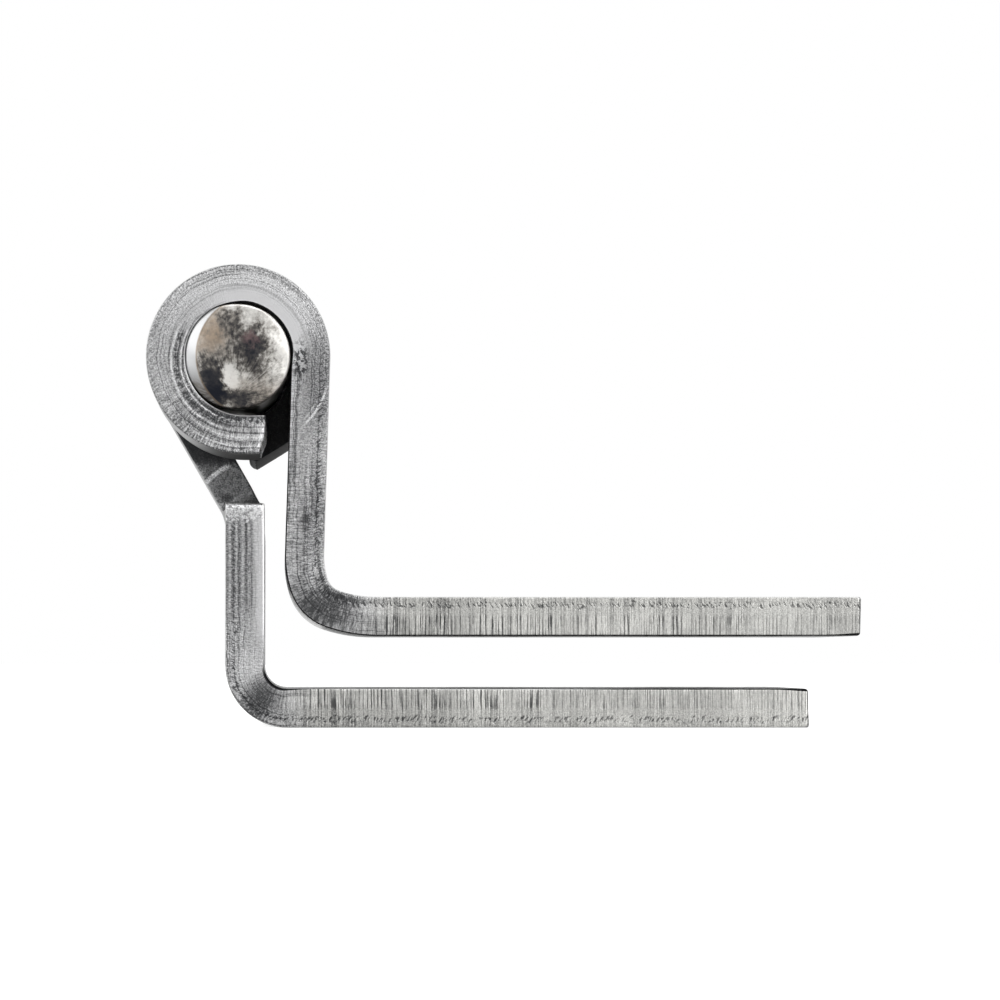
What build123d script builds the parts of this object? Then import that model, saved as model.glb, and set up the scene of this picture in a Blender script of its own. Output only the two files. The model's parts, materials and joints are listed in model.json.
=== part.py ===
"""Cranked two-knuckle hinge, bent from steel strip, in millimetres.

Two leaves are rolled at one end into knuckles round one pin. Each leaf runs away from
the pin, turns through a right angle and carries on as a flat plate with four
countersunk screw holes. Closed, the two plates are parallel with a gap between them.
The rear knuckle grips the pin, and the front knuckle turns on it.

The pin lies along Y. The lower plate's underside is Z = 0, and the origin is the centre
of the whole object's footprint. Shapes are drawn with the pin's centre at zero, and
moved to the pin's place when they are finished.
"""

from build123d import *
from math import asin, cos, radians, sin, sqrt
import os

# Driving dimensions. Heights and reaches are measured from the pin's centre.
STRIP = 3.0                  # strip thickness
WIDTH = 50.0                 # leaf width, measured along the pin
FRONT_KNUCKLE = 20.0         # length of the upper leaf's knuckle, at the front
KNUCKLE_GAP = 0.2            # free play between the two knuckles
PIN_R = 4.0                  # pin shaft radius
RUNNING_CLEARANCE = 0.08     # between the pin and the front knuckle

UPPER_PLATE_Z = -18.5        # upper plate's top face
PLATE_GAP = 4.06             # between the two plates when closed
UPPER_REACH = 47.92          # upper plate's free end
LOWER_REACH = 43.9           # lower plate's free end
NOTCH_Z = -11.23             # bottom of both leaves' knuckle notches

UPPER_LEAN = 1.8             # degrees that the upper leaf's upright leans under the pin
UPPER_BENDS = ((7.0, 21.0), (2.8, 52.0), (10.8, 18.8))   # its bend: centreline radii and degrees
UPPER_TAIL = 1.74            # straight end of the front roll
UPPER_SLACK_R = 6.04         # centreline radius of the roll's slack last quarter

LOWER_UPRIGHT_X = 0.52       # centreline of the lower leaf's upright
LOWER_SLANT = 30.0           # degrees that its strip slants outwards to meet the roll
LOWER_JOG_R = 7.4            # centreline radius between slant and upright
LOWER_BEND_R = 3.27          # centreline radius of the right-angle bend
LOWER_TAIL = 2.97            # straight end of the rear roll
LOWER_SLACK_R = 6.0          # centreline radius of the roll's slack last part
LOWER_SLACK_TURN = 58.6      # degrees of that part

HOLE_R = 2.4                 # screw hole
SINK_R = 4.6                 # mouth of its 90 degree countersink
HOLE_COLUMNS = (20.0, 35.0)  # from the pin's centre
HOLE_ROWS = (-15.0, 15.0)    # either side of the middle of the width

CORNER_R = 0.6               # rounding of the blanks' outer corners
NOTCH_ROOT_R = 1.2           # rounding in the root of the upper leaf's notch

PIN_CHEEK_R = 1.0            # rounding at the pin's shoulders
PIN_CROWN = 0.7              # height of the crowned ends beyond that rounding
PIN_RECESS = 0.9             # how far inside the knuckle's face the rounding starts

# Worked out from them
HALF = STRIP / 2
HALF_WIDTH = WIDTH / 2
FRONT_ROLL_R = PIN_R + RUNNING_CLEARANCE + HALF
REAR_ROLL_R = PIN_R + HALF
UPPER_MID_Z = UPPER_PLATE_Z - HALF
LOWER_FACE_Z = UPPER_PLATE_Z - 2 * STRIP - PLATE_GAP
LOWER_MID_Z = LOWER_FACE_Z + HALF
KNUCKLE_SPLIT = FRONT_KNUCKLE - HALF_WIDTH
PIN_X = (FRONT_ROLL_R + HALF - UPPER_REACH) / 2
PIN_Z = -LOWER_FACE_Z


def direction(angle):
    """Unit vector in the XZ plane at an angle in degrees, from +X towards +Z."""
    return Vector(cos(radians(angle)), 0, sin(radians(angle)))


def bend_stations(point, heading, radius, turn):
    """Start, middle and end of a centreline arc, each with its heading there."""
    side = direction(heading + (90 if turn > 0 else -90))
    centre = point + side * radius
    stations = []
    for part in (0, 0.5, 1):
        spoke = side.rotate(Axis.Y, -turn * part)
        stations.append((centre - spoke * radius, heading + turn * part))
    return stations


def strip_profile(start, heading, steps):
    """The side view of a strip that follows steps from start, as a face in the XZ plane.

    A step is a length for a straight, or (radius, turn) for an arc of the strip's
    centreline, with turn in degrees and positive to the left of the way it runs.
    """
    point = start
    faces = {HALF: [], -HALF: []}
    for step in steps:
        if isinstance(step, tuple):
            stations = bend_stations(point, heading, *step)
        else:
            stations = [(point, heading), (point + direction(heading) * step, heading)]
        for offset, edges in faces.items():
            spots = [spot + direction(angle + 90) * offset for spot, angle in stations]
            edges.append(Edge.make_three_point_arc(*spots) if len(spots) == 3 else Edge.make_line(*spots))
        point, heading = stations[-1]
    left, right = faces.values()
    ends = [Edge.make_line(left[0] @ 0, right[0] @ 0), Edge.make_line(left[-1] @ 1, right[-1] @ 1)]
    return Face(Wire(left + right + ends))


def extruded(face, low, high):
    """A profile carried along the pin from one Y to another."""
    return Pos(0, low, 0) * extrude(face, amount=high - low, dir=(0, 1, 0))


def screw_cutters(seat_z, head_z):
    """Four countersunk holes through a plate that seats at seat_z, with the heads at head_z."""
    upright = head_z > seat_z
    depth = SINK_R - HOLE_R
    radii = (HOLE_R, SINK_R) if upright else (SINK_R, HOLE_R)
    sink_z = head_z + (-depth if upright else depth) / 2
    cutters = []
    for x in HOLE_COLUMNS:
        for y in HOLE_ROWS:
            cutters.append(Pos(x, y, head_z) * Cylinder(HOLE_R, 3 * STRIP))
            cutters.append(Pos(x, y, sink_z) * Cone(*radii, depth))
    return cutters


def rounded_corners(leaf, spots):
    """Rounds the short edge of the leaf that is nearest to each spot."""
    edges = [leaf.edges().sort_by_distance(spot)[0] for spot in spots]
    return fillet(edges, CORNER_R)


def bend_shift(heading, bends):
    """How far a run of left-hand bends carries the strip's centreline."""
    shift = Vector()
    for radius, turn in bends:
        shift += (direction(heading + 90) - direction(heading + turn + 90)) * radius
        heading += turn
    return shift


def upper_leaf():
    """The leaf with the front knuckle and the upper plate."""
    lean = -90 - UPPER_LEAN
    roll_end = direction(-UPPER_LEAN) * FRONT_ROLL_R
    shift = bend_shift(lean, UPPER_BENDS)
    upright = (roll_end.Z + shift.Z - UPPER_MID_Z) / cos(radians(UPPER_LEAN))
    plate = UPPER_REACH - roll_end.X - shift.X + upright * sin(radians(UPPER_LEAN))
    tail_end = Vector(UPPER_SLACK_R - FRONT_ROLL_R + UPPER_TAIL, 0, -UPPER_SLACK_R)
    roll = [UPPER_TAIL, (UPPER_SLACK_R, -90), (FRONT_ROLL_R, -180 - UPPER_LEAN)]
    profile = strip_profile(tail_end, 180, [*roll, upright, *UPPER_BENDS, plate])
    leaf = extruded(profile, -HALF_WIDTH, HALF_WIDTH)

    notch_y = KNUCKLE_SPLIT - KNUCKLE_GAP / 2
    notch_size = (4 * REAR_ROLL_R, WIDTH, 4 * REAR_ROLL_R)
    notch = Pos(0, notch_y, NOTCH_Z) * Box(*notch_size, align=(Align.CENTER, Align.MIN, Align.MIN))
    root = notch.edges().filter_by(Axis.X).sort_by_distance((0, notch_y, NOTCH_Z))[0]
    leaf -= fillet(root, NOTCH_ROOT_R)
    leaf -= screw_cutters(UPPER_PLATE_Z, UPPER_PLATE_Z - STRIP)
    notch_x = roll_end.X + (NOTCH_Z - roll_end.Z) * sin(radians(UPPER_LEAN))
    free_corners = [(UPPER_REACH, y, UPPER_MID_Z) for y in (-HALF_WIDTH, HALF_WIDTH)]
    return rounded_corners(leaf, [*free_corners, (notch_x, HALF_WIDTH, NOTCH_Z)])


def lower_leaf():
    """The leaf with the rear knuckle and the lower plate."""
    slack_centre = Vector(REAR_ROLL_R - LOWER_SLACK_R, 0, 0)
    slack_start = slack_centre + direction(-LOWER_SLACK_TURN) * LOWER_SLACK_R
    tail_heading = 90 - LOWER_SLACK_TURN
    tail_end = slack_start - direction(tail_heading) * LOWER_TAIL
    roll = [LOWER_TAIL, (LOWER_SLACK_R, LOWER_SLACK_TURN), (REAR_ROLL_R, 180 + LOWER_SLANT)]
    roll_end = direction(180 + LOWER_SLANT) * REAR_ROLL_R
    jog_drop = LOWER_JOG_R * sin(radians(LOWER_SLANT))
    jog_width = LOWER_JOG_R * (1 - cos(radians(LOWER_SLANT)))
    slant = (LOWER_UPRIGHT_X - jog_width - roll_end.X) / sin(radians(LOWER_SLANT))
    upright_z = roll_end.Z - slant * cos(radians(LOWER_SLANT)) - jog_drop
    bend_z = LOWER_MID_Z + LOWER_BEND_R
    foot = [(LOWER_BEND_R, 90), LOWER_REACH - LOWER_UPRIGHT_X - LOWER_BEND_R]
    rear_steps = [*roll, slant, (LOWER_JOG_R, -LOWER_SLANT), upright_z - bend_z, *foot]
    front_start = Vector(LOWER_UPRIGHT_X, 0, NOTCH_Z)

    split = KNUCKLE_SPLIT + KNUCKLE_GAP / 2
    leaf = extruded(strip_profile(tail_end, tail_heading, rear_steps), split, HALF_WIDTH)
    leaf += extruded(strip_profile(front_start, -90, [NOTCH_Z - bend_z, *foot]), -HALF_WIDTH, split)
    leaf -= screw_cutters(LOWER_FACE_Z, LOWER_FACE_Z + STRIP)
    free_corners = [(LOWER_REACH, y, LOWER_MID_Z) for y in (-HALF_WIDTH, HALF_WIDTH)]
    return rounded_corners(leaf, [*free_corners, (LOWER_UPRIGHT_X, -HALF_WIDTH, NOTCH_Z)])


def hinge_pin():
    """The plain round pin, crowned at both ends, turned from its own half outline."""
    shoulder = HALF_WIDTH - PIN_RECESS
    rim = shoulder + PIN_CHEEK_R
    tip = rim + PIN_CROWN
    face_r = PIN_R - PIN_CHEEK_R
    crown_r = (face_r**2 + PIN_CROWN**2) / (2 * PIN_CROWN)
    halfway = asin(face_r / crown_r) / 2
    bulge = PIN_CHEEK_R / sqrt(2)
    cheek = [(PIN_R, shoulder), (face_r + bulge, shoulder + bulge), (face_r, rim)]
    crown = [(face_r, rim), (crown_r * sin(halfway), tip - crown_r * (1 - cos(halfway))), (0, tip)]
    outline = [
        Edge.make_line((0, 0), (PIN_R, 0)),
        Edge.make_line((PIN_R, 0), (PIN_R, shoulder)),
        Edge.make_three_point_arc(*cheek),
        Edge.make_three_point_arc(*crown),
        Edge.make_line((0, tip), (0, 0)),
    ]
    front = revolve(Face(Wire(outline)), Axis.Y)
    return front + mirror(front, Plane.XZ)


def build_parts():
    """Every node's solid, in the part's own frame."""
    place = Pos(PIN_X, 0, PIN_Z)
    shapes = {"upper_leaf": upper_leaf(), "lower_leaf": lower_leaf(), "hinge_pin": hinge_pin()}
    return {name: place * shape for name, shape in shapes.items()}


os.makedirs("parts", exist_ok=True)
for name, solid in build_parts().items():
    export_step(solid, f"parts/{name}.step")
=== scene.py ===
"""Looks for the cranked two-knuckle hinge: bare steel strip, sheared, bent and rolled.

Each leaf is built as the flat blank it was cut from, with its notch, rounded corners,
countersunk holes and sheared edges, and then bent along the same centreline as the
packed leaf. Lengths are in millimetres until a mesh is written.
"""

import json
from math import cos, pi, radians, sin, sqrt

import bpy
import numpy as np
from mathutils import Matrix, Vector
from mathutils.kdtree import KDTree

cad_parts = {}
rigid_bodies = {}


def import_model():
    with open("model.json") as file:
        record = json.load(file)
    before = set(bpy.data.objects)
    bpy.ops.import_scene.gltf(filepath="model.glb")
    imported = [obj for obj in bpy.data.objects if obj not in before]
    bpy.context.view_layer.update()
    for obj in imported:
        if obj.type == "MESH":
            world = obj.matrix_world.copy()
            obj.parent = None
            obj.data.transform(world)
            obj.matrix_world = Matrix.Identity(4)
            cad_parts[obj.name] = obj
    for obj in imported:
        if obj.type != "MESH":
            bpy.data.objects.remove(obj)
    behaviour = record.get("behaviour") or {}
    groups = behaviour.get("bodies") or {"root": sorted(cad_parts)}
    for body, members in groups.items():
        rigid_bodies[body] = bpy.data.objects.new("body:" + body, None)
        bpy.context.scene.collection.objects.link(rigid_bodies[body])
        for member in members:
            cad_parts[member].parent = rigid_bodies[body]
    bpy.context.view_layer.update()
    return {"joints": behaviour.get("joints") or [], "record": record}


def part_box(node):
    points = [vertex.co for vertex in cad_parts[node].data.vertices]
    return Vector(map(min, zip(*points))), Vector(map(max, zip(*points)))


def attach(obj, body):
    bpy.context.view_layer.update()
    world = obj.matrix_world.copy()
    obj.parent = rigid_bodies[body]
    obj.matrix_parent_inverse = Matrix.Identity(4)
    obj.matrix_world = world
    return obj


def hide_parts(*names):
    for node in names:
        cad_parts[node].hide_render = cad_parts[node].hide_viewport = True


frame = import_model()
MM = 0.001

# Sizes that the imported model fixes
PIN_AXIS = Vector(frame["joints"][0]["pos_m"]) / MM
UPPER_LO, UPPER_HI = (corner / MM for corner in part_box("upper_leaf"))
LOWER_LO, LOWER_HI = (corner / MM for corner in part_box("lower_leaf"))
PIN_LO, PIN_HI = (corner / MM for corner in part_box("hinge_pin"))
HOLES = {m["name"]: m for m in frame["record"]["mounts"] if m["kind"] == "bolt_pattern"}

# The strip and its two centrelines, measured from the pin's centre
STRIP = 3.0
HALF = STRIP / 2
HALF_WIDTH = UPPER_HI.y
PIN_R = (PIN_HI.x - PIN_LO.x) / 2
FRONT_ROLL_R = PIN_AXIS.x - UPPER_LO.x - HALF
REAR_ROLL_R = LOWER_HI.z - PIN_AXIS.z - HALF
UPPER_PLATE_Z = -18.5
UPPER_MID_Z = UPPER_PLATE_Z - HALF
LOWER_MID_Z = LOWER_LO.z - PIN_AXIS.z + HALF
UPPER_REACH = UPPER_HI.x - PIN_AXIS.x
LOWER_REACH = LOWER_HI.x - PIN_AXIS.x
NOTCH_Z = -11.23
LENGTH_SEARCH = 0.005
SPLIT_Y = -5.0
SPLIT_PLAY = 0.1
UPPER_LEAN = 1.8
UPPER_BENDS = ((7.0, 21.0), (2.8, 52.0), (10.8, 18.8))
UPPER_TAIL = 1.74
UPPER_SLACK_R = 6.04
LOWER_UPRIGHT_X = 0.52
LOWER_SLANT = 30.0
LOWER_JOG_R = 7.4
LOWER_BEND_R = 3.27
LOWER_TAIL = 2.97
LOWER_SLACK_R = 6.0
LOWER_SLACK_TURN = 58.6

# The blanks' corners and holes
TAB_CORNER_R = 0.65
TAIL_CORNER_R = 0.4
PLATE_CORNER_R = 0.28
ROOT_R = 1.2
ROOT_REACH = 1.5 * ROOT_R
HOLE_R = 2.4
SINK_R = 4.6
HOLE_BREAK = 0.12
HOLE_PATCH = 6.2

# The blanks' grids: lines beside an edge, rows down a sheared face, rings round a hole
EDGE_LINES = (0, 0.03, 0.07, 0.12, 0.18, 0.25, 0.33, 0.42, 0.52, 0.62, 0.76, 0.95, 1.2, 1.5)
CLOSEST_LINES = 0.012
LENGTH_STEP = 0.3
WIDTH_STEP = 1.0
WALL_ROWS = 18
SUNK_RINGS = (0, 0.3, 0.65, 0.95, 1)
SINK_STEPS = (0.12, 0.35, 0.6, 0.85, 0.97)
UNDER_RINGS = (1, 0.97, 0.6, 0.25, 0)

# How deep the strip is rolled over at its edges, and how far from each place that reaches
DROP_WIDTH, BACK_WIDTH = 1.7, 1.4
CORNER_DROP, CORNER_DROP_R = 0.13, 1.5
BEND_DROP, BEND_FULL, BENDS_FROM = 0.24, 0.35, 33.0
ROLL_DROP, ROLL_FROM, ROLL_TO, ROLL_FADE = 0.13, 18.5, 30.0, 3.0
BACK_DROP = 0.05
END_DROP, END_DROP_R, END_LENGTHENED = 0.16, 0.22, 0.3
UPPER_DROP = 0.095

# How the sheared faces slope, swell and follow the rolled ends' cuts
WALL_SLOPE = 0.07
TORN_ROUGHNESS = 0.012
SWELLING, SWELLING_REACH, NOTCH_SWELLING = 0.34, 1.3, 0.25
EDGE_REACH = 1.6
TAIL_FADE = 3.2


# ---------------------------------------------------------------- strip centrelines

def unit(angle):
    """Unit vector in the XZ plane at an angle in degrees, from +X towards +Z."""
    return np.array([cos(radians(angle)), sin(radians(angle))])


class Centreline:
    """A strip's centreline in the XZ plane: straights (length) and arcs (radius, turn)."""

    def __init__(self, start, heading, steps):
        self.runs = []
        self.length = 0.0
        point = np.array(start, float)
        for step in steps:
            bent = isinstance(step, tuple)
            turn = step[1] if bent else 0.0
            length = step[0] * radians(abs(turn)) if bent else step
            curve = radians(turn) / length if bent else 0.0
            self.runs.append((self.length, length, point.copy(), radians(heading), curve))
            point = self.follow(self.runs[-1], np.array([length]))[0]
            heading += turn
            self.length += length

    @staticmethod
    def follow(run, along):
        """Points at distances along one run."""
        _, _, start, heading, curve = run
        if curve:
            turned = heading + curve * along
            x = (np.sin(turned) - sin(heading)) / curve
            z = (cos(heading) - np.cos(turned)) / curve
        else:
            x, z = along * cos(heading), along * sin(heading)
        return start + np.stack([x, z], -1)

    def at(self, s):
        """Points and headings in radians at lengths s."""
        points = np.zeros((len(s), 2))
        headings = np.zeros(len(s))
        for i, run in enumerate(self.runs):
            low = -1e9 if i == 0 else run[0]
            high = 1e9 if i == len(self.runs) - 1 else run[0] + run[1]
            here = (s >= low) & (s < high)
            points[here] = self.follow(run, s[here] - run[0])
            headings[here] = run[3] + run[4] * (s[here] - run[0])
        return points, headings

    def bend(self, s, spread=0.8):
        """Curvature at lengths s, spread out a little as it is in real metal."""
        total = np.zeros(len(s))
        for low, length, _, _, curve in self.runs:
            rise = np.clip((s - low) / spread + 0.5, 0, 1)
            fall = np.clip((s - low - length) / spread + 0.5, 0, 1)
            total += curve * (smooth(rise) - smooth(fall))
        return total

    def length_at(self, test):
        """The first length, from the free end back, at which test(point) is true."""
        s = np.arange(self.length, 0, -LENGTH_SEARCH)
        points, _ = self.at(s)
        return s[np.argmax(test(points))]


def smooth(t):
    """Smooth step from 0 to 1."""
    t = np.clip(t, 0, 1)
    return t * t * (3 - 2 * t)


def bend_shift(heading, bends):
    """How far a run of left-hand bends carries the strip's centreline."""
    shift = np.zeros(2)
    for radius, turn in bends:
        shift += (unit(heading + 90) - unit(heading + turn + 90)) * radius
        heading += turn
    return shift


def upper_centreline():
    """From the tail of the front knuckle, over the pin and down to the upper plate's end."""
    lean = -90 - UPPER_LEAN
    roll_end = unit(-UPPER_LEAN) * FRONT_ROLL_R
    shift = bend_shift(lean, UPPER_BENDS)
    upright = (roll_end[1] + shift[1] - UPPER_MID_Z) / cos(radians(UPPER_LEAN))
    plate = UPPER_REACH - roll_end[0] - shift[0] + upright * sin(radians(UPPER_LEAN))
    start = (UPPER_SLACK_R - FRONT_ROLL_R + UPPER_TAIL, -UPPER_SLACK_R)
    roll = [UPPER_TAIL, (UPPER_SLACK_R, -90), (FRONT_ROLL_R, -180 - UPPER_LEAN)]
    return Centreline(start, 180, [*roll, upright, *UPPER_BENDS, plate])


def lower_centrelines():
    """The rear knuckle's strip down to the lower plate's end, and the same with no slant in it."""
    slack_centre = np.array([REAR_ROLL_R - LOWER_SLACK_R, 0])
    slack_start = slack_centre + unit(-LOWER_SLACK_TURN) * LOWER_SLACK_R
    tail_heading = 90 - LOWER_SLACK_TURN
    start = slack_start - unit(tail_heading) * LOWER_TAIL
    roll = [LOWER_TAIL, (LOWER_SLACK_R, LOWER_SLACK_TURN), (REAR_ROLL_R, 180 + LOWER_SLANT)]
    roll_end = unit(180 + LOWER_SLANT) * REAR_ROLL_R
    jog_width = LOWER_JOG_R * (1 - cos(radians(LOWER_SLANT)))
    slant = (LOWER_UPRIGHT_X - jog_width - roll_end[0]) / sin(radians(LOWER_SLANT))
    jog_low = roll_end[1] - slant * cos(radians(LOWER_SLANT))
    jog_low -= LOWER_JOG_R * sin(radians(LOWER_SLANT))
    upright = jog_low - LOWER_MID_Z - LOWER_BEND_R
    foot = [(LOWER_BEND_R, 90), LOWER_REACH - LOWER_UPRIGHT_X - LOWER_BEND_R]
    jog = (LOWER_JOG_R, -LOWER_SLANT)
    bent = Centreline(start, tail_heading, [*roll, slant, jog, upright, *foot])
    above = bent.length - upright - LOWER_BEND_R * pi / 2 - foot[1]
    straight = Centreline((LOWER_UPRIGHT_X, jog_low + above), 270, [above + upright, *foot])
    return bent, straight


# ---------------------------------------------------------------- blanks

def spaced(low, high, step, edges, extra):
    """Grid lines from low to high: close together beside the edges, and at each extra line."""
    lines = {low, high}
    for edge in edges:
        for offset in EDGE_LINES:
            lines.update(v for v in (edge - offset, edge + offset) if low <= v <= high)
    lines.update(extra)
    fixed = sorted(lines)
    out = [fixed[0]]
    for value in fixed[1:]:
        if value - out[-1] < CLOSEST_LINES:
            continue
        count = int(np.ceil((value - out[-1]) / step))
        out.extend(np.linspace(out[-1], value, count + 1)[1:].tolist())
    return np.array(out)


class Blank:
    """A leaf before bending: a plate with a knuckle strip at one side of its top edge.

    Its plane is (s, y), with s along the strip and y along the pin, and its thickness is n.
    The knuckle strip runs from s = 0 to s = notch, on the side of y = split that side names.
    """

    def __init__(self, length, notch, split, side, holes):
        self.length, self.notch, self.split, self.side = length, notch, split, side
        hole_s = [s + d for s, _ in holes for d in (-HOLE_PATCH, HOLE_PATCH)]
        hole_y = [y + d for _, y in holes for d in (-HOLE_PATCH, HOLE_PATCH)]
        self.s = spaced(0.0, length, LENGTH_STEP, (0.0, notch, length), hole_s)
        sides = (-HALF_WIDTH, split, HALF_WIDTH)
        self.y = spaced(-HALF_WIDTH, HALF_WIDTH, WIDTH_STEP, sides, hole_y)
        mid_s = (self.s[1:] + self.s[:-1])[:, None] / 2
        mid_y = (self.y[1:] + self.y[:-1])[None, :] / 2
        self.solid = (mid_s > notch) | ((mid_y - split) * side > 0)
        self.filled = self.solid.copy()
        for s, y in holes:
            self.filled &= ~((abs(mid_s - s) < HOLE_PATCH) & (abs(mid_y - y) < HOLE_PATCH))
        self.warp()

    def warp(self):
        """Plane position of each grid point, with convex corners rounded and the root filled."""
        s, y = np.meshgrid(self.s, self.y, indexing="ij")
        self.ps, self.py = s.copy(), y.copy()
        self.corners = set()
        end = HALF_WIDTH * self.side
        for corner_s, corner_y, into_s, into_y, radius in (
            (self.length, end, -1, -self.side, PLATE_CORNER_R),
            (self.length, -end, -1, self.side, PLATE_CORNER_R),
            (self.notch, -end, 1, self.side, TAB_CORNER_R),
            (0.0, end, 1, -self.side, TAIL_CORNER_R),
            (0.0, self.split, 1, self.side, TAIL_CORNER_R),
        ):
            self.round_corner(s, y, corner_s, corner_y, into_s, into_y, radius)
        self.fill_root(s, y)
        to_s = np.minimum(s, self.length - s)
        in_strip = s < self.notch
        to_y = HALF_WIDTH - abs(y)
        beside = np.where(in_strip, abs(y - self.split), 1e9)
        under = np.where((y - self.split) * self.side <= 0, abs(s - self.notch), 1e9)
        root = np.hypot(np.maximum(s - self.notch, 0), np.maximum((y - self.split) * self.side, 0))
        self.edge = np.minimum.reduce([to_s, to_y, beside, under, root])

    def round_corner(self, s, y, corner_s, corner_y, into_s, into_y, radius):
        """Turns the square corner's grid into a quarter disc."""
        corner = np.argmin(np.hypot(s - corner_s, y - corner_y))
        self.corners.add(tuple(int(k) for k in np.unravel_index(corner, s.shape)))
        a = 1 - (s - corner_s) * into_s / radius
        b = 1 - (y - corner_y) * into_y / radius
        here = (a >= 0) & (a <= 1) & (b >= 0) & (b <= 1)
        new_a = a * np.sqrt(np.maximum(1 - b * b / 2, 0))
        new_b = b * np.sqrt(np.maximum(1 - a * a / 2, 0))
        self.ps[here] = (corner_s + into_s * radius * (1 - new_a))[here]
        self.py[here] = (corner_y + into_y * radius * (1 - new_b))[here]

    def split_at_corner(self, cells):
        """A grid square, cut in two from a rounded corner so that neither half is flat."""
        for k, cell in enumerate(cells):
            if cell in self.corners:
                turned = cells[k:] + cells[:k]
                return [turned[:3], [turned[0], turned[2], turned[3]]]
        return [cells]

    def fill_root(self, s, y):
        """Pulls the metal round the notch's inner corner out into a fillet."""
        a = self.notch - s
        b = -(y - self.split) * self.side
        angle = np.full(s.shape, pi / 4)
        depth = np.maximum(-a, -b)
        below, beside = (b > 0) & (a <= 0), (a > 0) & (b <= 0)
        angle[below] = (pi / 4 * (1 - b / ROOT_R))[below]
        angle[beside] = (pi / 4 * (1 + a / ROOT_R))[beside]
        depth[below], depth[beside] = -a[below], -b[beside]
        near = (angle >= 0) & (angle <= pi / 2) & (depth >= 0) & (depth < ROOT_REACH)
        fade = (1 - depth / ROOT_REACH) ** 2
        to_a = ROOT_R * (1 - np.cos(angle)) - np.maximum(a, 0)
        to_b = ROOT_R * (1 - np.sin(angle)) - np.maximum(b, 0)
        self.ps[near] -= (to_a * fade)[near]
        self.py[near] -= (to_b * fade * self.side)[near]

    def outline(self):
        """The outer boundary as an ordered loop of grid indices, anticlockwise in (s, y)."""
        nexts = {}
        pad = np.pad(self.solid, 1)
        for i, j in zip(*np.nonzero(self.solid)):
            for here, there, beyond in (
                ((i, j), (i + 1, j), pad[i + 1, j]),
                ((i + 1, j), (i + 1, j + 1), pad[i + 2, j + 1]),
                ((i + 1, j + 1), (i, j + 1), pad[i + 1, j + 2]),
                ((i, j + 1), (i, j), pad[i, j + 1]),
            ):
                if not beyond:
                    nexts[here] = there
        loop = [next(iter(nexts))]
        while nexts[loop[-1]] != loop[0]:
            loop.append(nexts[loop[-1]])
        return loop


# ---------------------------------------------------------------- leaf meshes

# Each face's material, and the least distance from the edge that a flat face's mark gives
ROLLED, SHEARED, DRILLED = 0, 1, 2
EDGE_MARK = 0.01
PATCH_MARK = 3.0


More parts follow.
